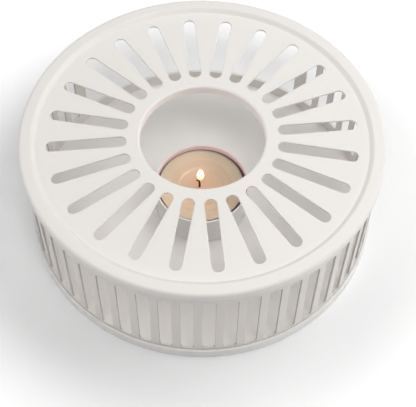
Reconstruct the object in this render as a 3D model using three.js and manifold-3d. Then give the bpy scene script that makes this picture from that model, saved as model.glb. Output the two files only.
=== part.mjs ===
// Teapot warmer: a round slotted cover of painted sheet steel stands in a shallow tray, over a
// tealight in a fixed cup. The teapot rests on the cover, and the flame below keeps it warm.
// Millimetres, +Z up. The origin is the middle of the underside, and the front faces -Y. A wide
// opening at the back of the cover lets the tealight in.

import * as THREE from "three";
import { mergeVertices } from "three/addons/utils/BufferGeometryUtils.js";
import Module from "manifold-3d";

const wasm = await Module();
wasm.setup();

// Sheet steel and fits
const sheet = 0.9; // thickness with its paint
const fit = 0.3; // gap between pieces that slip inside each other
const bendInside = 0.2; // inside radius of a pressed bend

// Whole object
const outerRadius = 75; // lid skirt and tray rim
const height = 54; // table to the top of the lid's rim

// Lid
const rimCorner = 1.6; // rounded outer edge of the lid
const skirtLength = 2; // straight skirt below the rounded edge
const rimWidth = 5.4; // outer edge to the step
const stepWidth = 1.2; // run of the step from the rim to the disc
const recess = 1.8; // disc below the rim
const holeRadius = 25.8; // opening over the flame
const lipDepth = 4.2; // turned-down lip of the opening
const ventCount = 24;
const ventWidth = 5;
const ventMargin = 5.3; // opening to the inner tips of the vents
const ventLength = 32.9; // tip to tip

// Wall band
const slotWidth = 5.3;
const slotCorner = 1.4;
const barWidth = 3.38; // wall between two slots
const openingWidth = 108.3; // opening at the back, measured round the wall
const postLeast = 4.5; // least wall between the opening and the last slots
const bandAbove = 8.1; // rim top to the slots
const bandBelow = 0.9; // tray rim to the slots

// Base tray and candle cup
const trayRim = 5.8; // tray rim above the table
const cupRadius = 20.7;
const cupDepth = 16.2; // from the cup's floor to its rim
const cupCorner = 2.5; // rounded foot of the cup

// Tealight
const caseThickness = 0.3; // thin aluminium
const casePlay = 1; // room around the tealight in its cup
const caseHeight = 14.5;
const caseShift = 0.7; // the loose tealight lies to the left in its cup
const waxBelowRim = 0.3;
const meltDip = 1.3; // melted middle below the wax's edge
const meltRadius = 13; // where the hollow begins to steepen
const poolRadius = 7; // liquid wax round the wick
const wickRadius = 0.7;
const wickRise = 5.3; // wick above the melted wax
const wickLean = 2; // sideways curl of the wick's tip
const sustainerRadius = 6; // tin disc that holds the wick upright
const sustainerThickness = 0.3;
const collarHeight = 3.5;

// Facets
const drumSides = 72;
const cupSides = 48;
const tealightSides = 36;
const wickSides = 8;
const wickSteps = 10;
const arcStep = THREE.MathUtils.degToRad(45); // turn of one facet in a bend

// Levels and radii that the pieces share
const trayFloor = sheet;
const skirtInside = outerRadius - sheet;
const bandRadius = skirtInside - fit;
const bandTop = height - rimCorner;
const discTop = height - recess;
const cupFloor = trayFloor + sheet;
const caseRadius = cupRadius - sheet - casePlay;
const waxFloor = cupFloor + caseThickness;
const waxRadius = caseRadius - caseThickness - fit;
const waxTop = cupFloor + caseHeight - waxBelowRim;
const meltLevel = waxTop - meltDip;
const wickHole = wickRadius + fit;
const collarRadius = wickHole + sustainerThickness;

// Finishes
function finish(color, roughness, metalness) {
  return new THREE.MeshStandardMaterial({ color, roughness, metalness });
}

function whitePaint() {
  return finish(0xf1efea, 0.55, 0);
}

function named(name, geometry, material) {
  const mesh = new THREE.Mesh(geometry, material);
  mesh.name = name;
  return mesh;
}

// Points of a line of [radius, level, bend radius] corners, with each bend as an arc.
function roundedLine(corners) {
  const points = [];
  corners.forEach(([x, y, radius = 0], index) => {
    const corner = new THREE.Vector2(x, y);
    if (radius === 0) {
      points.push(corner);
      return;
    }
    const before = new THREE.Vector2(...corners[index - 1]).sub(corner).normalize();
    const after = new THREE.Vector2(...corners[index + 1]).sub(corner).normalize();
    const turn = Math.PI - Math.acos(before.dot(after));
    const middle = before.clone().add(after).normalize();
    const centre = corner.clone().addScaledVector(middle, radius / Math.cos(turn / 2));
    const start = corner.clone().addScaledVector(before, radius * Math.tan(turn / 2));
    const side = Math.sign(after.cross(before));
    const steps = Math.max(2, Math.round(turn / arcStep));
    for (let step = 0; step <= steps; step += 1) {
      points.push(start.clone().rotateAround(centre, (side * turn * step) / steps));
    }
  });
  return points;
}

// Section of a bent sheet: the corners give its outside, and the sheet lies to their left.
function sheetSection(corners, thickness) {
  const inside = corners.map(([x, y, radius], index) => {
    const corner = new THREE.Vector2(x, y);
    const next = corners[index + 1] && new THREE.Vector2(...corners[index + 1]).sub(corner);
    const last = corners[index - 1] && corner.clone().sub(new THREE.Vector2(...corners[index - 1]));
    const before = (last ?? next).clone().normalize();
    const after = (next ?? last).clone().normalize();
    const along = before.clone().add(after).normalize();
    const reach = thickness / along.dot(after);
    const bend = radius && radius - Math.sign(before.cross(after)) * thickness;
    return [x - along.y * reach, y + along.x * reach, bend];
  });
  return [...roundedLine(corners), ...roundedLine(inside).reverse()];
}

// A section turned about Z. A section that doesn't start on the axis is closed to a ring.
function turned(section, sides) {
  const points = section[0].x === 0 ? section : [...section, section[0]];
  return new THREE.LatheGeometry(points, sides).rotateX(Math.PI / 2);
}

// A geometry as a closed solid for cutting, and the cut solid as a geometry again.
function toSolid(geometry) {
  geometry.deleteAttribute("normal");
  geometry.deleteAttribute("uv");
  const merged = mergeVertices(geometry);
  const vertProperties = merged.attributes.position.array;
  const triVerts = new Uint32Array(merged.index.array);
  return new wasm.Manifold(new wasm.Mesh({ numProp: 3, vertProperties, triVerts }));
}

function toGeometry(solid) {
  const { vertProperties, triVerts } = solid.getMesh();
  const geometry = new THREE.BufferGeometry();
  geometry.setAttribute("position", new THREE.BufferAttribute(vertProperties, 3));
  geometry.setIndex(new THREE.BufferAttribute(triVerts, 1));
  geometry.computeVertexNormals();
  return geometry;
}

// A solid with copies of one cutter taken out of it, each turned about Z from the front.
function cutAt(solid, cutter, angles) {
  return angles.reduce((left, angle) => left.subtract(toSolid(cutter.clone().rotateZ(angle))), solid);
}

// A rectangle with round corners, centred across X and standing on Y = 0.
function roundedSlot(width, length, corner) {
  const side = width / 2;
  const shape = new THREE.Shape();
  shape.moveTo(side, corner);
  shape.lineTo(side, length - corner);
  shape.absarc(side - corner, length - corner, corner, 0, Math.PI / 2);
  shape.lineTo(corner - side, length);
  shape.absarc(corner - side, length - corner, corner, Math.PI / 2, Math.PI);
  shape.lineTo(-side, corner);
  shape.absarc(corner - side, corner, corner, Math.PI, 1.5 * Math.PI);
  shape.lineTo(side - corner, 0);
  shape.absarc(side - corner, corner, corner, 1.5 * Math.PI, 2 * Math.PI);
  return shape;
}

// Lid: one pressing with a raised rim, a recessed disc with radial vents and a lipped opening.
function lid() {
  const stepStart = outerRadius - rimWidth;
  const bendOutside = bendInside + sheet;
  const section = sheetSection([
    [outerRadius, bandTop - skirtLength],
    [outerRadius, height, rimCorner],
    [stepStart, height, bendOutside],
    [stepStart - stepWidth, discTop, bendInside],
    [holeRadius, discTop, bendOutside],
    [holeRadius, discTop - lipDepth],
  ], sheet);
  const pressing = turned(section, drumSides);

  const ventEnd = holeRadius + ventMargin + ventLength;
  const cutDepth = 3 * sheet;
  const vent = new THREE.ExtrudeGeometry(roundedSlot(ventWidth, ventLength, ventWidth / 2), {
    depth: cutDepth,
    bevelEnabled: false,
    curveSegments: 2,
  });
  vent.translate(0, -ventEnd, discTop - cutDepth + sheet);
  const angles = Array.from({ length: ventCount }, (_, number) => (2 * Math.PI * number) / ventCount);
  return named("lid", toGeometry(cutAt(toSolid(pressing), vent, angles)), whitePaint());
}

// Part of a ring about Z, standing on Z = 0, that reaches to both sides of the back.
function ringAtBack(inner, outer, halfAngle, depth) {
  const back = Math.PI / 2;
  const shape = new THREE.Shape();
  shape.absarc(0, 0, outer, back - halfAngle, back + halfAngle);
  shape.absarc(0, 0, inner, back + halfAngle, back - halfAngle, true);
  return new THREE.ExtrudeGeometry(shape, { depth, bevelEnabled: false });
}

// Wall band: a rolled strip with a row of upright slots and a wide opening at the back, whose
// ends are rounded by the tool that punches the slots. It is fixed inside the lid's skirt.
function wallBand() {
  const strip = [
    new THREE.Vector2(bandRadius, trayFloor),
    new THREE.Vector2(bandRadius, bandTop),
    new THREE.Vector2(bandRadius - sheet, bandTop),
    new THREE.Vector2(bandRadius - sheet, trayFloor),
  ];
  const slotFoot = trayRim + bandBelow;
  const slotLength = height - bandAbove - slotFoot;
  const cutDepth = 3 * sheet;
  const slot = new THREE.ExtrudeGeometry(roundedSlot(slotWidth, slotLength, slotCorner), {
    depth: cutDepth,
    bevelEnabled: false,
    curveSegments: 1,
  });
  slot.rotateX(Math.PI / 2).translate(0, 2 * sheet - bandRadius, slotFoot);

  const halfWall = Math.PI * bandRadius - openingWidth / 2;
  const pitch = slotWidth + barWidth;
  const slotsPerSide = Math.floor((halfWall - postLeast + barWidth / 2) / pitch);
  const places = Array.from({ length: slotsPerSide }, (_, number) => (number + 0.5) * pitch);
  const openingEnd = halfWall + slotWidth / 2;
  const angles = [...places, openingEnd].flatMap((place) => [place / bandRadius, -place / bandRadius]);
  const slotted = cutAt(toSolid(turned(strip, drumSides)), slot, angles);

  const inner = bandRadius - 2 * sheet;
  const opening = ringAtBack(inner, inner + cutDepth, Math.PI - openingEnd / bandRadius, slotLength);
  opening.translate(0, 0, slotFoot);
  const band = slotted.subtract(toSolid(opening));
  return named("wall_band", toGeometry(band), whitePaint());
}

// Base tray: a shallow pressing whose rim stands round the foot of the wall band.
function baseTray() {
  const section = sheetSection([
    [0, 0],
    [outerRadius, 0, sheet + fit / 2],
    [outerRadius, trayRim],
  ], sheet);
  return named("base_tray", turned(section, drumSides), whitePaint());
}

// Candle cup: a drawn cup fixed to the middle of the tray.
function candleCup() {
  const section = sheetSection([
    [0, trayFloor],
    [cupRadius, trayFloor, cupCorner],
    [cupRadius, cupFloor + cupDepth],
  ], sheet);
  return named("candle_cup", turned(section, cupSides), whitePaint());
}

// Tealight case: the thin aluminium cup that the candle is cast in.
function tealightCase() {
  const section = sheetSection([
    [0, cupFloor],
    [caseRadius, cupFloor, cupCorner],
    [caseRadius, cupFloor + caseHeight],
  ], caseThickness);
  return named("tealight_case", turned(section, tealightSides), finish(0xc9ccd0, 0.35, 1));
}

// Wick sustainer: a tin disc with a collar, lying on the floor of the case.
function wickSustainer() {
  const discLevel = waxFloor + sustainerThickness;
  const section = [
    new THREE.Vector2(wickHole, waxFloor),
    new THREE.Vector2(sustainerRadius, waxFloor),
    new THREE.Vector2(sustainerRadius, discLevel),
    new THREE.Vector2(collarRadius, discLevel),
    new THREE.Vector2(collarRadius, waxFloor + collarHeight),
    new THREE.Vector2(wickHole, waxFloor + collarHeight),
  ];
  return named("wick_sustainer", turned(section, tealightSides), finish(0xb8babd, 0.4, 1));
}

// Wax: cast round the wick and its holder, with a melted hollow round the wick.
function wax() {
  const holderRadius = sustainerRadius + fit;
  const holderLevel = waxFloor + sustainerThickness + fit;
  const collarLevel = waxFloor + collarHeight + fit;
  const section = roundedLine([
    [holderRadius, waxFloor],
    [waxRadius, waxFloor, cupCorner],
    [waxRadius, waxTop],
    [meltRadius, waxTop - meltDip / 2],
    [poolRadius, meltLevel],
    [wickHole, meltLevel],
    [wickHole, collarLevel],
    [collarRadius + fit, collarLevel],
    [collarRadius + fit, holderLevel],
    [holderRadius, holderLevel],
  ]);
  return named("wax", turned(section, tealightSides), finish(0xf0d9b4, 0.4, 0));
}

// Wick: a braided cotton cord that stands in its holder and curls over at its burnt tip.
function wick() {
  const route = new THREE.CatmullRomCurve3([
    new THREE.Vector3(0, 0, waxFloor),
    new THREE.Vector3(0, 0, (waxFloor + meltLevel) / 2),
    new THREE.Vector3(0, 0, meltLevel),
    new THREE.Vector3(0, 0, meltLevel + wickRise / 2),
    new THREE.Vector3(-wickLean, 0, meltLevel + wickRise),
  ]);
  const section = new THREE.Shape().absarc(0, 0, wickRadius, 0, 2 * Math.PI);
  const cord = new THREE.ExtrudeGeometry(section, {
    steps: wickSteps,
    curveSegments: wickSides / 2,
    extrudePath: route,
  });
  return named("wick", cord, finish(0x2a2622, 0.9, 0));
}

// The cover lifts off the base, and the tealight lifts out of its cup.
const cover = new THREE.Group();
cover.add(lid(), wallBand());

const base = new THREE.Group();
base.add(baseTray(), candleCup());

const tealight = new THREE.Group();
tealight.add(tealightCase(), wickSustainer(), wax(), wick());
tealight.position.x = -caseShift;

const teapotWarmer = new THREE.Group();
teapotWarmer.add(base, tealight, cover);

export default teapotWarmer;
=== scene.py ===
import math

import bmesh
import bpy
from mathutils import Matrix, Vector


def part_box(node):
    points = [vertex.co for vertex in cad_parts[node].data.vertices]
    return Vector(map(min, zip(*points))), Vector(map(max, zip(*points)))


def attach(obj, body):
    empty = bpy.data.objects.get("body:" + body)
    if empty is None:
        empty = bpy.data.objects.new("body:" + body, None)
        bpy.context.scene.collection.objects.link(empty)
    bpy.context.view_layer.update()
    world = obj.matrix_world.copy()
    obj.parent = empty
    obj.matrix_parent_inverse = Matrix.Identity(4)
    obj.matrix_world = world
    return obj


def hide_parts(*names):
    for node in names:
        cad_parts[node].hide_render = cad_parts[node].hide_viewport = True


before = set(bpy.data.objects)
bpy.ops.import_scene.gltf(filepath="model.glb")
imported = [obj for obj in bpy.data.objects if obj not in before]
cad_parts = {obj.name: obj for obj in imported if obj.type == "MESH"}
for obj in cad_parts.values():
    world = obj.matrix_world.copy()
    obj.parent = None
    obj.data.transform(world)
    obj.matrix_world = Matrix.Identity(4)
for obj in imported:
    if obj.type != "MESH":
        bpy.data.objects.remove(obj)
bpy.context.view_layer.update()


# Base tray
# A shallow dish pressed from sheet steel and powder-coated matt white. Its rim stands round the
# foot of the lift-off cover, and its flat underside stands on the table.
mm = 0.001
sheet = 0.9 * mm
hair = 0.01 * mm
touch = sheet / 100
weld = sheet / 1000
bend_steps = 6
drum_steps = 240
edge_round = 0.15 * mm
sharp_angle = math.radians(40)
tray_low, tray_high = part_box("base_tray")
drum_radius = tray_high.x - hair
tray_sheet = 1.08 * mm
tray_bend = 1.4 * mm
tray_inside = drum_radius - 2 * tray_sheet
tray_peel = 1500.0
white = (0.90, 0.882, 0.864, 1)
white_shade = (0.88, 0.861, 0.842, 1)
dark = (0, 0, 0, 1)
# bounced_light is painted light: a faint glow on paint inside the drum, in place of light bounced about
# inside it
bounced_light = (0.046, 0.045, 0.044, 1)
fade = 0.2 * mm
tint_depth = 7 * mm


def select_only(piece):
    """Leaves one piece selected and active."""
    bpy.ops.object.select_all(action="DESELECT")
    piece.select_set(True)
    bpy.context.view_layer.objects.active = piece


def pick(piece, test):
    """Selects the points of a piece in edit mode whose place passes the test."""
    mesh = bmesh.from_edit_mesh(piece.data)
    for point in mesh.verts:
        point.select = test(point.co)
    mesh.select_flush(False)
    bmesh.update_edit_mesh(piece.data)


def close_seams():
    """Merges the doubled points of the mesh in edit mode, turns its faces outwards and leaves it."""
    bpy.ops.mesh.select_all(action="SELECT")
    bpy.ops.mesh.remove_doubles(threshold=weld)
    bpy.ops.mesh.normals_make_consistent(inside=False)
    bpy.ops.object.mode_set(mode="OBJECT")


def finish_modifier(piece, name, kind, **settings):
    """Adds a modifier with its settings and applies it."""
    modifier = piece.modifiers.new(name, kind)
    for setting, value in settings.items():
        setattr(modifier, setting, value)
    bpy.context.view_layer.objects.active = piece
    bpy.ops.object.modifier_apply(modifier=modifier.name)


def draw_line(name, corners):
    """Draws (radius, level, bend) corners as one line in the XZ plane and rounds its bends."""
    bpy.ops.object.select_all(action="DESELECT")
    radius, level, _ = corners[0]
    bpy.ops.mesh.primitive_plane_add(size=sheet, location=(radius, 0, level))
    piece = bpy.context.object
    piece.name = name
    bpy.ops.object.transform_apply(location=True, rotation=True, scale=True)
    bpy.ops.object.mode_set(mode="EDIT")
    bpy.ops.mesh.select_all(action="SELECT")
    bpy.ops.mesh.merge(type="CENTER")
    for here, there in zip(corners, corners[1:]):
        step = (there[0] - here[0], 0, there[1] - here[1])
        bpy.ops.mesh.extrude_region_move(TRANSFORM_OT_translate={"value": step})
    for before, corner, after in zip(corners, corners[1:], corners[2:]):
        at = Vector(corner[:2])
        bend = corner[2]
        if bend:
            turn = math.pi - (Vector(before[:2]) - at).angle(Vector(after[:2]) - at)
            cut = bend * math.tan(turn / 2)
            pick(piece, lambda co: (co.xz - at).length < touch)
            bpy.ops.mesh.bevel(offset=cut, segments=bend_steps, affect="VERTICES", clamp_overlap=False)
    return piece


def spin_line(piece, steps):
    """Spins the drawn line once round Z, with its faces pointing away from the axis at its widest."""
    bpy.ops.mesh.select_all(action="SELECT")
    bpy.ops.mesh.spin(steps=steps, angle=2 * math.pi, center=(0, 0, 0), axis=(0, 0, 1))
    close_seams()
    widest = max(piece.data.polygons, key=lambda face: face.center.xy.length)
    if widest.normal.xy.dot(widest.center.xy) < 0:
        bpy.ops.object.mode_set(mode="EDIT")
        bpy.ops.mesh.select_all(action="SELECT")
        bpy.ops.mesh.flip_normals()
        bpy.ops.object.mode_set(mode="OBJECT")


def pressed_sheet(name, corners, thickness, steps):
    """A turned sheet shell: the corners give its outside, and it is thickened inwards."""
    piece = draw_line(name, corners)
    spin_line(piece, steps)
    finish_modifier(
        piece, "Sheet", "SOLIDIFY", thickness=thickness, offset=-1,
        use_even_offset=True, use_quality_normals=True,
    )
    return piece


def pressed_dish(name, radius, low, high, bend, thickness, steps):
    """A round dish with a flat floor, an upright wall and one bend between them."""
    corners = [(0, low, 0), (radius, low, bend), (radius, high, 0)]
    return pressed_sheet(name, corners, thickness, steps)


def shade_round(piece, angle):
    """Shades a piece smooth, except across edges sharper than the angle."""
    select_only(piece)
    bpy.ops.object.shade_smooth_by_angle(angle=angle)


def soften_edges(piece, width, segments=3):
    """Rounds the cut edges a little, as paint does, and shades the curves smooth."""
    shade_round(piece, sharp_angle)
    finish_modifier(
        piece, "Soft edges", "BEVEL", width=width, segments=segments, limit_method="ANGLE",
        angle_limit=sharp_angle, harden_normals=True, use_clamp_overlap=False,
    )
    finish_modifier(piece, "Flat faces", "WEIGHTED_NORMAL", mode="FACE_AREA", weight=100, keep_sharp=True)


def new_material(name):
    """A material with its Principled shader, and the node tree to add to."""
    material = bpy.data.materials.new(name)
    material.use_nodes = True
    tree = material.node_tree
    return material, tree, tree.nodes["Principled BSDF"]


def add_node(tree, kind, inputs=None, **settings):
    """Adds a node with its settings by name and the values of its unlinked inputs."""
    node = tree.nodes.new(kind)
    for setting, value in settings.items():
        setattr(node, setting, value)
    for key, value in (inputs or {}).items():
        node.inputs[key].default_value = value
    return node


def smooth_range(tree, start, end, low=0.0, high=1.0):
    """A node that goes softly from low to high while its value goes from start to end."""
    ends = {"From Min": start, "From Max": end, "To Min": low, "To Max": high}
    return add_node(tree, "ShaderNodeMapRange", ends, interpolation_type="SMOOTHSTEP")


def colour_mix(tree, first, second):
    """A node that goes from the first colour to the second while its factor goes from 0 to 1."""
    return add_node(tree, "ShaderNodeMix", {"A": first, "B": second}, data_type="RGBA")


def powder_coat_group():
    """Paint baked from powder: a fine peel, a slow drift of tone and a patchy sheen."""
    group = bpy.data.node_groups.new("powder_coat", "ShaderNodeTree")
    for name, kind in (("Paint", "Color"), ("Shade", "Color"), ("Peel Scale", "Float")):
        group.interface.new_socket(name, in_out="INPUT", socket_type="NodeSocket" + kind)
    for name, kind in (("Color", "Color"), ("Roughness", "Float"), ("Height", "Float")):
        group.interface.new_socket(name, in_out="OUTPUT", socket_type="NodeSocket" + kind)
    given = add_node(group, "NodeGroupInput")
    made = add_node(group, "NodeGroupOutput")
    place = add_node(group, "ShaderNodeTexCoord")
    peel = add_node(group, "ShaderNodeTexNoise", {"Detail": 3.0, "Roughness": 0.55})
    drift = add_node(group, "ShaderNodeTexNoise", {"Scale": 45.0, "Detail": 3.0})
    sheen = add_node(group, "ShaderNodeTexNoise", {"Scale": 260.0, "Detail": 4.0})
    tone = add_node(group, "ShaderNodeMix", data_type="RGBA")
    rough = add_node(group, "ShaderNodeMapRange", {"To Min": 0.50, "To Max": 0.66})
    link = group.links.new
    for texture in (peel, drift, sheen):
        link(place.outputs["Object"], texture.inputs["Vector"])
    link(given.outputs["Peel Scale"], peel.inputs["Scale"])
    link(drift.outputs["Fac"], tone.inputs["Factor"])
    link(given.outputs["Paint"], tone.inputs["A"])
    link(given.outputs["Shade"], tone.inputs["B"])
    link(sheen.outputs["Fac"], rough.inputs["Value"])
    link(tone.outputs["Result"], made.inputs["Color"])
    link(rough.outputs["Result"], made.inputs["Roughness"])
    link(peel.outputs["Fac"], made.inputs["Height"])
    return group


powder_coat = powder_coat_group()


def painted(name, peel_scale):
    """White powder coat on sheet steel, with the peel of this piece's own size."""
    material, tree, shader = new_material(name)
    paint = {"Paint": white, "Shade": white_shade, "Peel Scale": peel_scale}
    coat = add_node(tree, "ShaderNodeGroup", paint, node_tree=powder_coat, name="Coat")
    bump = add_node(tree, "ShaderNodeBump", {"Strength": 0.10, "Distance": 0.2 * mm})
    link = tree.links.new
    link(coat.outputs["Color"], shader.inputs["Base Color"])
    link(coat.outputs["Roughness"], shader.inputs["Roughness"])
    link(coat.outputs["Height"], bump.inputs["Height"])
    link(bump.outputs["Normal"], shader.inputs["Normal"])
    return material


def paint_with_painted_light(name, peel_scale, radius, level, tint, glow):
    """The same coat with painted light: a glow inside a radius and above a level, and a tint for painted
    light and shade there and a little below.
    """
    material = painted(name, peel_scale)
    tree = material.node_tree
    shader = tree.nodes["Principled BSDF"]
    shader.inputs["Emission Strength"].default_value = 1.0
    coat = tree.nodes["Coat"]
    place = add_node(tree, "ShaderNodeTexCoord")
    flat = add_node(tree, "ShaderNodeVectorMath", {1: (1, 1, 0)}, operation="MULTIPLY")
    reach = add_node(tree, "ShaderNodeVectorMath", operation="LENGTH")
    high = add_node(tree, "ShaderNodeSeparateXYZ")
    inside = smooth_range(tree, radius + fade, radius - fade)
    warm = smooth_range(tree, level - tint_depth, level - tint_depth / 3)
    lit = smooth_range(tree, level - fade, level + fade)
    warm_inside = add_node(tree, "ShaderNodeMath", operation="MULTIPLY")
    lit_inside = add_node(tree, "ShaderNodeMath", operation="MULTIPLY")
    tone = colour_mix(tree, white, tint)
    light = colour_mix(tree, dark, glow)
    link = tree.links.new
    link(place.outputs["Object"], flat.inputs[0])
    link(flat.outputs["Vector"], reach.inputs[0])
    link(reach.outputs["Value"], inside.inputs["Value"])
    link(place.outputs["Object"], high.inputs["Vector"])
    for above, both, colour in ((warm, warm_inside, tone), (lit, lit_inside, light)):
        link(high.outputs["Z"], above.inputs["Value"])
        link(inside.outputs["Result"], both.inputs[0])
        link(above.outputs["Result"], both.inputs[1])
        link(both.outputs["Value"], colour.inputs["Factor"])
    link(tone.outputs["Result"], coat.inputs["Paint"])
    link(tone.outputs["Result"], coat.inputs["Shade"])
    link(light.outputs["Result"], shader.inputs["Emission Color"])
    return material


def dress(piece, material, slot, body, *nodes):
    """Gives a finished piece its material and its body, and hides the node it stands for. The slot is not
    used.
    """
    piece.data.materials.clear()
    piece.data.materials.append(material)
    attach(piece, body)
    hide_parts(*nodes)


tray = pressed_dish(
    "tray_shell", drum_radius, tray_low.z, tray_high.z, tray_bend, tray_sheet, drum_steps,
)
soften_edges(tray, edge_round)
# Painted light in the tray: inside its rim the paint takes the coat's shade tone and glows faintly, in
# place of light bounced inside the drum
tray_paint = paint_with_painted_light("tray_paint", tray_peel, tray_inside, tray_low.z, white_shade, bounced_light)
dress(tray, tray_paint, "white_paint", "base", "base_tray")


# Candle cup
# A small cup drawn from the same sheet steel, painted white inside and out. It is spot-welded to
# the middle of the tray and keeps the tealight under the lid's opening.
cup_low, cup_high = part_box("candle_cup")
cup_radius = cup_high.x
cup_rim = cup_high.z - hair
cup_bend = 2.5 * mm
cup_steps = 160
cup_peel = 1700.0
cup_inside = cup_radius - 0.75 * sheet
lit_depth = 2.5 * mm
# Painted light and shade inside the cup: the rosy tint darkens the upper inner wall into a painted pink
# shade in the gap round the tealight, and wall_glow is painted candlelight on the wall within lit_depth
# of the rim
rosy_shade = (0.52, 0.35, 0.32, 1)
wall_glow = (0.33, 0.235, 0.235, 1)
cup = pressed_dish("cup_shell", cup_radius, cup_low.z, cup_rim, cup_bend, sheet, cup_steps)
soften_edges(cup, edge_round)
cup_paint = paint_with_painted_light("cup_paint", cup_peel, cup_inside, cup_rim - lit_depth, rosy_shade, wall_glow)
dress(cup, cup_paint, "white_paint", "base", "candle_cup")


# Tealight case
# The thin aluminium cup that the candle is cast in, deep-drawn, with faint draw lines round its
# side. It stands loose in the candle cup.
foil = 0.08 * mm
foil_edge = 0.02 * mm
fine_segments = 2
case_steps = 128
case_play = 0.2 * mm
case_shift = Vector((0.35 * mm, 0.13 * mm, 0))
case_low, case_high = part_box("tealight_case")
case_radius = (case_high.x - case_low.x) / 2 - case_play
candle_at = Vector(((case_high.x + case_low.x) / 2, 0, 0)) + case_shift
aluminium = (0.80, 0.80, 0.82, 1)


def foil_material():
    """Bright drawn aluminium, with fine rings from the drawing die."""
    material, tree, shader = new_material("drawn_aluminium")
    shader.inputs["Base Color"].default_value = aluminium
    shader.inputs["Metallic"].default_value = 1.0
    place = add_node(tree, "ShaderNodeTexCoord")
    ring_size = {"Scale": 900.0, "Distortion": 1.5}
    rings = add_node(tree, "ShaderNodeTexWave", ring_size, bands_direction="Z")
    rough = add_node(tree, "ShaderNodeMapRange", {"To Min": 0.22, "To Max": 0.38})
    bump = add_node(tree, "ShaderNodeBump", {"Strength": 0.15, "Distance": 0.05 * mm})
    link = tree.links.new
    link(place.outputs["Object"], rings.inputs["Vector"])
    link(rings.outputs["Fac"], rough.inputs["Value"])
    link(rough.outputs["Result"], shader.inputs["Roughness"])
    link(rings.outputs["Fac"], bump.inputs["Height"])
    link(bump.outputs["Normal"], shader.inputs["Normal"])
    return material


def move_to(piece, place):
    """Moves a turned piece of the tealight from the axis to its place in the cup."""
    select_only(piece)
    bpy.ops.transform.translate(value=place)
    bpy.ops.object.transform_apply(location=True, rotation=True, scale=True)


case = pressed_dish("tealight_foil", case_radius, case_low.z, case_high.z, cup_bend, foil, case_steps)
soften_edges(case, foil_edge, fine_segments)
move_to(case, candle_at)
dress(case, foil_material(), "foil", "tealight", "tealight_case")


# Wick sustainer
# A tinplate disc with a collar that holds the wick upright, under the wax on the floor of the
# case. It keeps its own solid and gets a plain tinplate finish.
tin_bright = (0.70, 0.70, 0.71, 1)
tin_dull = (0.58, 0.58, 0.60, 1)


def tin_material():
    """Tinplate with a soft crystalline spangle."""
    material, tree, shader = new_material("tinplate")
    shader.inputs["Metallic"].default_value = 1.0
    place = add_node(tree, "ShaderNodeTexCoord")
    spangle = add_node(tree, "ShaderNodeTexVoronoi", {"Scale": 700.0})
    tone = colour_mix(tree, tin_bright, tin_dull)
    rough = add_node(tree, "ShaderNodeMapRange", {"To Min": 0.32, "To Max": 0.50})
    link = tree.links.new
    link(place.outputs["Object"], spangle.inputs["Vector"])
    link(spangle.outputs["Distance"], tone.inputs["Factor"])
    link(spangle.outputs["Distance"], rough.inputs["Value"])
    link(tone.outputs["Result"], shader.inputs["Base Color"])
    link(rough.outputs["Result"], shader.inputs["Roughness"])
    return material


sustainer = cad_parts["wick_sustainer"]
sustainer.data.materials.clear()
sustainer.data.materials.append(tin_material())


# Wax
# Paraffin cast into the case. It is melted to a shallow glossy hollow round the wick and clings a
# little higher to the metal at its edge. Its colour carries painted light: a peach tint and a glow
# by the wick for the flame's light, and a glow on its front-left side.
wax_low, wax_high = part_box("wax")
wax_play = 0.03 * mm
wax_radius = case_radius - foil - wax_play
wax_bend = cup_bend - foil
brim_bend = 0.1 * mm
meniscus = 0.9 * mm
meniscus_drop = 0.35 * mm
melt_dip = 1.3 * mm
melt_level = wax_high.z - melt_dip
slope_radius = 12.5 * mm
slope_height = 0.28 * mm
slope_bend = 2 * mm
ridge_radius = 10.3 * mm
ridge_height = 1.2 * slope_height
ridge_bend = 0.9 * mm
pool_radius = 9.3 * mm
pool_bend = 1.2 * mm
# Peach by the wick is a painted tint of the flame's warm light on the wax; beige is its own colour
peach = (0.73, 0.50, 0.36, 1)
beige = (0.70, 0.565, 0.42, 1)
cloudy = (0.93, 0.91, 0.88, 1)
peach_reach = 2 * mm
beige_reach = 17 * mm
melted_rough = 0.13
set_rough = 0.48
# Painted light on the wax: a glow on its front-left side, and a glow on a spot behind the wick for the
# flame's light
lit_side = Vector((-0.45, -0.89, 0))
lit_start = 2 * mm
lit_full = 10 * mm
wax_glow = (0.115, 0.085, 0.06, 1)
glow_spot = Vector((-2.6 * mm, 11.4 * mm, 0))
glow_spot_reach = 12 * mm
glow_spot_core = 3 * mm
flame_glow = (0.10, 0.06, 0.045, 1)


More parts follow.
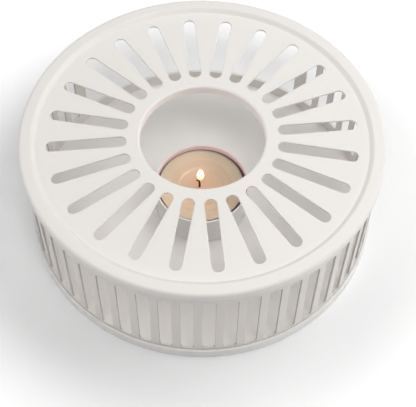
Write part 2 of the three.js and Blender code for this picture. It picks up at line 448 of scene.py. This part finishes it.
def wax_material():
    """Paraffin: beige at the rim, glossy where melted, with painted flame light as peach and glows."""
    material, tree, shader = new_material("paraffin")
    shader.inputs["Subsurface Weight"].default_value = 0.35
    shader.inputs["Subsurface Radius"].default_value = (4 * mm, 2 * mm, 1 * mm)
    shader.inputs["Subsurface Scale"].default_value = 1.0
    shader.inputs["Emission Strength"].default_value = 1.0
    place = add_node(tree, "ShaderNodeTexCoord")
    to_middle = {"Location": (-candle_at.x, -candle_at.y, -melt_level)}
    centre = add_node(tree, "ShaderNodeMapping", to_middle, vector_type="POINT")
    reach = add_node(tree, "ShaderNodeVectorMath", operation="LENGTH")
    cloud = add_node(tree, "ShaderNodeTexNoise", {"Scale": 220.0, "Detail": 4.0, "Roughness": 0.6})
    swirl = add_node(tree, "ShaderNodeTexNoise", {"Scale": 420.0, "Detail": 3.0, "Distortion": 1.2})
    near = smooth_range(tree, peach_reach, beige_reach)
    warm = colour_mix(tree, peach, beige)
    patch = add_node(tree, "ShaderNodeMix", {"B": cloudy}, data_type="RGBA", blend_type="MULTIPLY")
    rough = smooth_range(tree, ridge_radius, wax_radius, melted_rough, set_rough)
    side = add_node(tree, "ShaderNodeVectorMath", {1: lit_side}, operation="DOT_PRODUCT")
    lit = smooth_range(tree, lit_start, lit_full)
    glow = colour_mix(tree, dark, wax_glow)
    spot = add_node(tree, "ShaderNodeVectorMath", {1: glow_spot}, operation="DISTANCE")
    close = smooth_range(tree, glow_spot_reach, glow_spot_core)
    painted_glow = add_node(tree, "ShaderNodeMix", {"B": flame_glow}, data_type="RGBA", blend_type="ADD")
    bump = add_node(tree, "ShaderNodeBump", {"Strength": 0.4, "Distance": 0.4 * mm})
    link = tree.links.new
    link(place.outputs["Object"], centre.inputs["Vector"])
    for measure in (reach, side, spot):
        link(centre.outputs["Vector"], measure.inputs[0])
    for texture in (cloud, swirl):
        link(centre.outputs["Vector"], texture.inputs["Vector"])
    link(reach.outputs["Value"], near.inputs["Value"])
    link(near.outputs["Result"], warm.inputs["Factor"])
    link(cloud.outputs["Fac"], patch.inputs["Factor"])
    link(warm.outputs["Result"], patch.inputs["A"])
    link(patch.outputs["Result"], shader.inputs["Base Color"])
    link(reach.outputs["Value"], rough.inputs["Value"])
    link(rough.outputs["Result"], shader.inputs["Roughness"])
    link(side.outputs["Value"], lit.inputs["Value"])
    link(lit.outputs["Result"], glow.inputs["Factor"])
    link(spot.outputs["Value"], close.inputs["Value"])
    link(close.outputs["Result"], painted_glow.inputs["Factor"])
    link(glow.outputs["Result"], painted_glow.inputs["A"])
    link(painted_glow.outputs["Result"], shader.inputs["Emission Color"])
    link(swirl.outputs["Fac"], bump.inputs["Height"])
    link(bump.outputs["Normal"], shader.inputs["Normal"])
    return material


wax = draw_line(
    "wax_body",
    [
        (0, wax_low.z, 0),
        (wax_radius, wax_low.z, wax_bend),
        (wax_radius, wax_high.z, brim_bend),
        (wax_radius - meniscus, wax_high.z - meniscus_drop, meniscus),
        (slope_radius, melt_level + slope_height, slope_bend),
        (ridge_radius, melt_level + ridge_height, ridge_bend),
        (pool_radius, melt_level, pool_bend),
        (0, melt_level, 0),
    ],
)
spin_line(wax, case_steps)
shade_round(wax, sharp_angle)
move_to(wax, candle_at)
dress(wax, wax_material(), "wax", "tealight", "wax")


# Wick
# A braided cotton cord held by the sustainer. It stands out of the melted wax, charred black, and
# curls over to the left at its burnt tip.
wick_low, wick_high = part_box("wick")
wick_radius = 0.52 * mm
wick_shift = Vector((-0.75 * mm, 0.15 * mm, 0))
wick_foot = candle_at + wick_shift
wick_curl = 1.5 * mm
wick_tip = Vector((wick_foot.x - wick_curl, wick_foot.y, wick_high.z - 1.5 * wick_radius))
wick_taper = 0.7
bow_width = 1.2 * mm
bow_height = 3.2 * mm
foot_pull = Vector((0, 0, 1 * mm))
tip_pull = Vector((2.2 * mm, 0, 0.5 * mm))
tip_end = Vector((1 * mm, 0, 0.2 * mm))
ember_length = 0.9 * mm
char_black = (0.012, 0.009, 0.007, 1)
char_brown = (0.060, 0.040, 0.028, 1)
ember_red = (1.0, 0.16, 0.02, 1)


def wick_material():
    """Charred cotton, with the ribs of its braid and a dull ember at the tip."""
    material, tree, shader = new_material("charred_cotton")
    shader.inputs["Roughness"].default_value = 0.9
    shader.inputs["Emission Strength"].default_value = 0.6
    place = add_node(tree, "ShaderNodeTexCoord")
    rib_size = {"Scale": 2600.0, "Distortion": 2.0}
    braid = add_node(tree, "ShaderNodeTexWave", rib_size, bands_direction="DIAGONAL")
    char = colour_mix(tree, char_black, char_brown)
    bump = add_node(tree, "ShaderNodeBump", {"Strength": 0.6, "Distance": 0.1 * mm})
    along = add_node(tree, "ShaderNodeSeparateXYZ")
    ember_ends = {"From Min": wick_tip.x + ember_length, "From Max": wick_tip.x}
    hot = add_node(tree, "ShaderNodeMapRange", ember_ends)
    ember = colour_mix(tree, dark, ember_red)
    link = tree.links.new
    link(place.outputs["Object"], braid.inputs["Vector"])
    link(place.outputs["Object"], along.inputs["Vector"])
    link(braid.outputs["Fac"], char.inputs["Factor"])
    link(char.outputs["Result"], shader.inputs["Base Color"])
    link(braid.outputs["Fac"], bump.inputs["Height"])
    link(bump.outputs["Normal"], shader.inputs["Normal"])
    link(along.outputs["X"], hot.inputs["Value"])
    link(hot.outputs["Result"], ember.inputs["Factor"])
    link(ember.outputs["Result"], shader.inputs["Emission Color"])
    return material


bpy.ops.object.select_all(action="DESELECT")
bpy.ops.curve.primitive_bezier_curve_add()
wick = bpy.context.object
wick.name = "wick_cord"
foot, tip = wick.data.splines[0].bezier_points
foot.co = (wick_foot.x, wick_foot.y, wick_low.z)
foot.handle_left = foot.co - foot_pull
foot.handle_right = (wick_foot.x + bow_width, wick_foot.y, melt_level + bow_height)
tip.co = wick_tip
tip.handle_left = wick_tip + tip_pull
tip.handle_right = wick_tip - tip_end
tip.radius = wick_taper
wick.data.resolution_u = 24
wick.data.bevel_depth = wick_radius
wick.data.bevel_resolution = 4
wick.data.use_fill_caps = True
bpy.ops.object.convert(target="MESH")
bpy.ops.object.transform_apply(location=True, rotation=True, scale=True)
bpy.ops.object.mode_set(mode="EDIT")
close_seams()
shade_round(wick, sharp_angle)
dress(wick, wick_material(), "burnt_cotton", "tealight", "wick")


# Flame
# The burning vapour round and above the wick: clear and orange low down, white-hot above the
# wick's tip. It isn't a solid, so it stands for no node, and it goes with the tealight.
flame_low = melt_level + 5.6 * mm
flame_top = melt_level + 12.8 * mm
flame_height = flame_top - flame_low
flame_radius = 1.65 * mm
flame_steps = 32
flame_smooth = math.radians(80)
flame_shift = Vector((0.4 * mm, 0, 0))
flame_tone = (1.0, 0.8, 0.5, 1)
flame_orange = (0.45, 0.15, 0.04, 1)
flame_amber = (0.60, 0.30, 0.12, 1)
flame_white = (1.0, 0.76, 0.55, 1)
flame_heat = ((0.05, flame_orange), (0.40, flame_amber), (0.62, flame_white))
clear_height = 0.30
clear_cover = 0.05


def colour_ramp(tree, stops):
    """A ramp node through (share, colour) stops, given in rising order."""
    ramp = add_node(tree, "ShaderNodeValToRGB")
    elements = ramp.color_ramp.elements
    for number, (share, colour) in enumerate(stops):
        if number == len(elements):
            elements.new(1.0)
        elements[number].position = share
        elements[number].color = colour
    return ramp


def flame_material():
    """A glowing body whose colour and cover rise with height."""
    material, tree, shader = new_material("flame")
    shader.inputs["Base Color"].default_value = flame_tone
    shader.inputs["Roughness"].default_value = 1.0
    shader.inputs["Specular IOR Level"].default_value = 0.0
    shader.inputs["Emission Strength"].default_value = 2.2
    place = add_node(tree, "ShaderNodeTexCoord")
    high = add_node(tree, "ShaderNodeSeparateXYZ")
    rise = add_node(tree, "ShaderNodeMapRange", {"From Min": flame_low, "From Max": flame_top})
    heat = colour_ramp(tree, flame_heat)
    cover = smooth_range(tree, 0.0, clear_height, low=clear_cover)
    link = tree.links.new
    link(place.outputs["Object"], high.inputs["Vector"])
    link(high.outputs["Z"], rise.inputs["Value"])
    link(rise.outputs["Result"], heat.inputs["Fac"])
    link(rise.outputs["Result"], cover.inputs["Value"])
    link(heat.outputs["Color"], shader.inputs["Emission Color"])
    link(cover.outputs["Result"], shader.inputs["Alpha"])
    return material


flame = draw_line(
    "flame_body",
    [
        (0, flame_low, 0),
        (flame_radius * 0.80, flame_low + flame_height * 0.14, flame_radius * 0.5),
        (flame_radius, flame_low + flame_height * 0.38, flame_height * 0.15),
        (flame_radius * 0.78, flame_low + flame_height * 0.66, flame_height * 0.2),
        (flame_radius * 0.40, flame_low + flame_height * 0.88, flame_height * 0.2),
        (0, flame_top, 0),
    ],
)
spin_line(flame, flame_steps)
shade_round(flame, flame_smooth)
move_to(flame, wick_foot + flame_shift)
flame.data.materials.append(flame_material())
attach(flame, "tealight")


# Wall band
# A strip of sheet steel with a row of upright slots punched through it, rolled to a ring and fixed
# inside the lid's skirt. Its foot stands on the tray, inside the tray's rim.
band_low, band_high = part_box("wall_band")
lid_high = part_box("lid")[1]
band_gap = 0.3 * mm
band_radius = drum_radius - sheet - band_gap
band_steps = 480
band_edge = 0.12 * mm
band_peel = 1600.0
slots_per_side = 20
slot_width = 5.3 * mm
slot_corner = 1.4 * mm
slot_rise = 0.9 * mm
slot_drop = 8.1 * mm
slot_foot = tray_high.z + slot_rise
slot_top = lid_high.z - slot_drop
bar_width = 3.38 * mm
slot_pitch = (slot_width + bar_width) / band_radius
opening_width = 108.3 * mm
opening_half_angle = opening_width / 2 / band_radius
opening_steps = 49
corner_steps = 2 * bend_steps
punch_depth = 4 * sheet
# Painted shade on the band: its coat is a darker, warmer white than the lid's, and the upright cut faces
# of the slots are darker still
band_shaded_white = (0.855, 0.825, 0.80, 1)
cut_edge_shade = (0.60, 0.57, 0.55, 1)
turned_start = 0.5
turned_full = 0.95


def round_edges(piece, test, corner):
    """Rounds the edges of a cutter whose two ends pass the test, and stays in edit mode."""
    bpy.ops.object.mode_set(mode="EDIT")
    bpy.ops.mesh.select_mode(type="EDGE")
    mesh = bmesh.from_edit_mesh(piece.data)
    for edge in mesh.edges:
        here, there = (point.co for point in edge.verts)
        edge.select_set(test(here, there))
    bmesh.update_edit_mesh(piece.data)
    bpy.ops.mesh.bevel(offset=corner, segments=corner_steps, affect="EDGES", clamp_overlap=False)
    bpy.ops.mesh.select_mode(type="VERT")


def slot_cutter(name, size, centre, corner, axis):
    """A block with the edges along one axis rounded, for punching a slot."""
    bpy.ops.object.select_all(action="DESELECT")
    bpy.ops.mesh.primitive_cube_add(size=1, location=centre, scale=size)
    piece = bpy.context.object
    piece.name = name
    bpy.ops.object.transform_apply(location=True, rotation=True, scale=True)
    round_edges(piece, lambda here, there: abs(there[axis] - here[axis]) > touch, corner)
    close_seams()
    return piece


def opening_cutter(name, half_angle):
    """A curved block with round corners, as wide as the opening at the back of the band."""
    inner, outer = band_radius - punch_depth, band_radius + punch_depth
    corners = [(inner, slot_foot, 0), (outer, slot_foot, 0), (outer, slot_top, 0), (inner, slot_top, 0)]
    piece = draw_line(name, corners)
    bpy.ops.mesh.select_all(action="SELECT")
    bpy.ops.mesh.edge_face_add()
    bpy.ops.mesh.spin(steps=opening_steps, angle=2 * half_angle, center=(0, 0, 0), axis=(0, 0, 1))
    close_seams()
    swept = sum((point.co for point in piece.data.vertices), Vector())
    piece.data.transform(Matrix.Rotation(math.atan2(swept.x, swept.y), 4, "Z"))

    def at_corner(here, there):
        middle = (here + there) / 2
        at_end = abs(abs(math.atan2(middle.x, middle.y)) - half_angle) < slot_pitch / 100
        radial = abs(here.xy.length - there.xy.length) > sheet
        return at_end and radial

    round_edges(piece, at_corner, slot_corner)
    bpy.ops.object.mode_set(mode="OBJECT")
    return piece


def punch(piece, cutter, angles):
    """Cuts copies of the cutter out of the piece, each turned about Z from the cutter's own place."""
    bpy.ops.object.select_all(action="DESELECT")
    for angle in angles:
        copy = cutter.copy()
        copy.data = cutter.data.copy()
        copy.data.transform(Matrix.Rotation(angle, 4, "Z"))
        bpy.context.collection.objects.link(copy)
        copy.select_set(True)
    bpy.data.objects.remove(cutter)
    bpy.context.view_layer.objects.active = copy
    bpy.ops.object.join()
    finish_modifier(piece, "Punch", "BOOLEAN", operation="DIFFERENCE", object=copy, solver="EXACT")
    bpy.data.objects.remove(copy)


def shaded_band_paint(name, peel_scale):
    """The same coat in a darker, warmer tone for painted shade, and darker still on the upright cut edges
    of the slots for painted shade there.
    """
    material = painted(name, peel_scale)
    tree = material.node_tree
    coat = tree.nodes["Coat"]
    place = add_node(tree, "ShaderNodeTexCoord")
    around = add_node(tree, "ShaderNodeVectorMath", {0: (0, 0, 1)}, operation="CROSS_PRODUCT")
    unit = add_node(tree, "ShaderNodeVectorMath", operation="NORMALIZE")
    facing = add_node(tree, "ShaderNodeVectorMath", operation="DOT_PRODUCT")
    either = add_node(tree, "ShaderNodeMath", operation="ABSOLUTE")
    turned = smooth_range(tree, turned_start, turned_full)
    tone = colour_mix(tree, band_shaded_white, cut_edge_shade)
    link = tree.links.new
    link(place.outputs["Object"], around.inputs[1])
    link(around.outputs["Vector"], unit.inputs[0])
    link(unit.outputs["Vector"], facing.inputs[0])
    link(place.outputs["Normal"], facing.inputs[1])
    link(facing.outputs["Value"], either.inputs[0])
    link(either.outputs["Value"], turned.inputs["Value"])
    link(turned.outputs["Result"], tone.inputs["Factor"])
    link(tone.outputs["Result"], coat.inputs["Paint"])
    link(tone.outputs["Result"], coat.inputs["Shade"])
    return material


band_corners = [(band_radius, band_low.z, 0), (band_radius, band_high.z, 0)]
band = pressed_sheet("band_ring", band_corners, sheet, band_steps)
band_cutter = slot_cutter(
    "band_cutter",
    (slot_width, punch_depth, slot_top - slot_foot),
    (0, -band_radius, (slot_top + slot_foot) / 2),
    slot_corner,
    axis=1,
)
slot_angles = [(number + 0.5) * slot_pitch for number in range(slots_per_side)]
punch(band, band_cutter, slot_angles + [-angle for angle in slot_angles])
punch(band, opening_cutter("band_opening", opening_half_angle), [0])
soften_edges(band, band_edge, fine_segments)
dress(band, shaded_band_paint("band_paint", band_peel), "white_paint", "cover", "wall_band")


# Lid
# One pressing of the same sheet: a raised rounded rim with a short skirt, a recessed disc with
# radial vents, and an opening with a turned-down lip. The band is fixed inside its skirt.
lid_edge = 0.18 * mm
lid_peel = 1400.0
rim_corner = 1.6 * mm
rim_width = 5.2 * mm
skirt_length = 2 * mm
step_start = drum_radius - rim_width
step_width = 1.6 * mm
recess = 1.8 * mm
disc_top = lid_high.z - recess
bend_inside = 0.5 * mm
bend_outside = 1.1 * mm
hole_radius = 25.8 * mm
lip_depth = 4.2 * mm
lip_inside = hole_radius + 2 * fade
# Painted candlelight on the lip round the opening: a pinkish tint and a faint glow
lip_candlelight_tint = (0.90, 0.860, 0.840, 1)
lip_glow = (0.090, 0.072, 0.068, 1)
vent_count = 24
vent_width = 5 * mm
vent_corner = 0.999 * vent_width / 2
vent_length = 32.9 * mm
vent_margin = 5.3 * mm
vent_middle = hole_radius + vent_margin + vent_length / 2
lid = pressed_sheet(
    "lid_pressing",
    [
        (drum_radius, lid_high.z - rim_corner - skirt_length, 0),
        (drum_radius, lid_high.z, rim_corner),
        (step_start, lid_high.z, bend_outside),
        (step_start - step_width, disc_top, bend_inside),
        (hole_radius, disc_top, bend_outside),
        (hole_radius, disc_top - lip_depth, 0),
    ],
    sheet,
    drum_steps,
)
vent_cutter = slot_cutter(
    "vent_cutter",
    (vent_width, vent_length, punch_depth),
    (0, -vent_middle, disc_top),
    vent_corner,
    axis=2,
)
punch(lid, vent_cutter, [2 * math.pi * number / vent_count for number in range(vent_count)])
soften_edges(lid, lid_edge, fine_segments)
lid_paint = paint_with_painted_light("lid_paint", lid_peel, lip_inside, tray_low.z, lip_candlelight_tint, lip_glow)
dress(lid, lid_paint, "white_paint", "cover", "lid")


# Table and studio light
# A pale table top with a faint glow of its own. The camera sees the glow rise away from the drum,
# which leaves a painted shadow round the drum's foot. Round soft lights stand about it: one
# overhead, two on the camera's side, others at the back and sides.
table_size = 20000 * mm
table_tone = (0.955, 0.965, 0.985, 1)
near_glow = (0.045, 0.045, 0.045, 1)
glow_reach = 1600 * mm
# The camera sees the glow only from about 96 mm out, so the table stays dim round the drum: a painted
# shadow
table_glow = ((96 * mm, 0.02), (126 * mm, 0.24), (400 * mm, 0.25), (glow_reach, 0.75))
backdrop_tone = (0.85, 0.85, 0.85, 1)
light_tone = (1.0, 0.99, 0.97)


def table_material():
    """A pale matt top with a faint even glow, which the camera sees rise away from the drum, leaving a
    painted shadow round it.
    """
    material, tree, shader = new_material("pale_table")
    shader.inputs["Base Color"].default_value = table_tone
    shader.inputs["Emission Strength"].default_value = 1.0
    shader.inputs["Roughness"].default_value = 0.9
    shader.inputs["Specular IOR Level"].default_value = 0.0
    place = add_node(tree, "ShaderNodeTexCoord")
    reach = add_node(tree, "ShaderNodeVectorMath", operation="LENGTH")
    share = add_node(tree, "ShaderNodeMapRange", {"From Max": glow_reach})
    stops = [(distance / glow_reach, (tone, tone, tone, 1)) for distance, tone in table_glow]
    glow = colour_ramp(tree, stops)
    seen = add_node(tree, "ShaderNodeLightPath")
    shown = add_node(tree, "ShaderNodeMix", {"A": near_glow}, data_type="RGBA")
    link = tree.links.new
    link(place.outputs["Object"], reach.inputs[0])
    link(reach.outputs["Value"], share.inputs["Value"])
    link(share.outputs["Result"], glow.inputs["Fac"])
    link(seen.outputs["Is Camera Ray"], shown.inputs["Factor"])
    link(glow.outputs["Color"], shown.inputs["B"])
    link(shown.outputs["Result"], shader.inputs["Emission Color"])
    return material


def soft_light(name, azimuth, elevation, distance, width, power):
    """A round soft light aimed at the drum, its azimuth counted from the front towards the right."""
    around, up = math.radians(azimuth), math.radians(elevation)
    way = Vector((math.sin(around) * math.cos(up), -math.cos(around) * math.cos(up), math.sin(up)))
    bpy.ops.object.light_add(type="AREA", location=way * distance)
    lamp = bpy.context.object
    lamp.name = name
    lamp.data.shape = "DISK"
    lamp.data.size = width
    lamp.data.energy = power
    lamp.data.color = light_tone
    lamp.rotation_euler = way.to_track_quat("Z", "Y").to_euler()


bpy.ops.object.select_all(action="DESELECT")
bpy.ops.mesh.primitive_plane_add(size=table_size)
table = bpy.context.object
table.name = "table_top"
table.data.materials.append(table_material())

world = bpy.data.worlds.new("studio")
bpy.context.scene.world = world
world.use_nodes = True
backdrop = world.node_tree.nodes["Background"]
backdrop.inputs["Color"].default_value = backdrop_tone
backdrop_seen = add_node(world.node_tree, "ShaderNodeLightPath")
world.node_tree.links.new(backdrop_seen.outputs["Is Camera Ray"], backdrop.inputs["Strength"])
bpy.context.scene.view_settings.view_transform = "Standard"

soft_light("overhead_light", azimuth=170, elevation=76, distance=1.3, width=0.9, power=3.2)
soft_light("camera_light", azimuth=-6.6, elevation=68, distance=1.0, width=0.35, power=1.6)
soft_light("front_light", azimuth=20, elevation=60, distance=1.0, width=0.3, power=1.2)
soft_light("back_light", azimuth=180, elevation=30, distance=1.3, width=1.0, power=1.2)
soft_light("left_light", azimuth=270, elevation=30, distance=1.3, width=1.0, power=4.7)
soft_light("right_light", azimuth=80, elevation=50, distance=1.3, width=1.0, power=1.0)
soft_light("near_right_light", azimuth=100, elevation=60, distance=0.5, width=0.3, power=0.67)
soft_light("low_right_light", azimuth=80, elevation=12, distance=1.3, width=0.5, power=4.3)


# Camera
# The photograph's view: a long lens in front of the drum and a little to its left, looking steeply
# down at the lid.
view_turn = math.radians(-6.6)
view_elevation = math.radians(56.93)
view_roll = math.radians(1.15)
view_distance = 390.2 * mm
view_aim = Vector((2.8 * mm, -33.1 * mm, disc_top))
image_width = 416
focal_pixels = 998.7
turn = Matrix.Rotation(view_turn, 4, "Z")
tilt = Matrix.Rotation(math.pi / 2 - view_elevation, 4, "X")
camera_data = bpy.data.cameras.new("photo_camera")
camera_data.sensor_width = 36
camera_data.lens = focal_pixels * camera_data.sensor_width / image_width
camera = bpy.data.objects.new("photo_camera", camera_data)
bpy.context.scene.collection.objects.link(camera)
camera.matrix_world = (
    turn
    @ Matrix.Translation(view_aim)
    @ tilt
    @ Matrix.Translation((0, 0, view_distance))
    @ Matrix.Rotation(view_roll, 4, "Z")
)
bpy.context.scene.camera = camera
